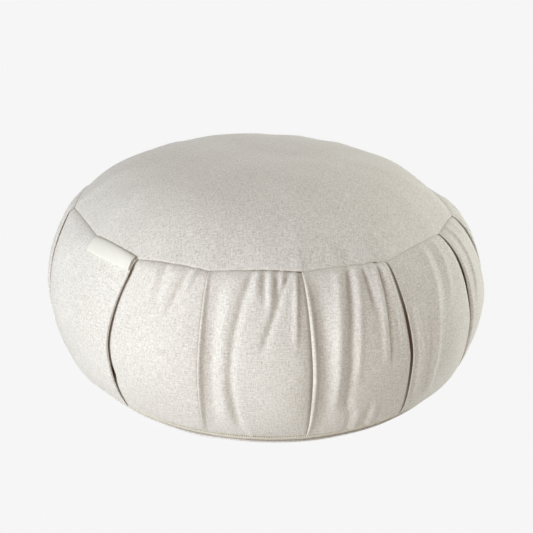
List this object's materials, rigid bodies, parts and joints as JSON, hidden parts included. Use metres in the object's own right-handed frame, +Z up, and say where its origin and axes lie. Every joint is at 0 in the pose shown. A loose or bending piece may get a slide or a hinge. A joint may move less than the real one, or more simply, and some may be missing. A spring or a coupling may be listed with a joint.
{
  "type": "zafu meditation cushion",
  "caption": "Round filled floor cushion with a domed top panel, a knife-pleated side drawn in at both seams, a zip along the lower front edge and a blank label.",
  "frame": {"origin": "on the floor, under the middle of the cushion's outline", "axes": "+Z up through the crown; -Y is the front, where the zip runs and the camera stood; +X is the right-hand side seen from the front"},
  "size_m": [0.3514, 0.3519, 0.1624],
  "materials": {
    "cover_cloth": "undyed cotton and linen plain weave, matt, finely flecked",
    "zip_tape": "cream ribbed woven tape, matt",
    "zip_coil": "cream moulded coil, slight sheen",
    "label_tape": "off-white satin-edged woven tape, bare"
  },
  "bodies": {
    "root": {"cushion_body": "cover_cloth", "top_panel": "cover_cloth", "bottom_panel": "cover_cloth", "zip_tape_upper": "zip_tape", "zip_tape_lower": "zip_tape", "zip_coil": "zip_coil", "label": "label_tape"}
  },
  "joints": []
}
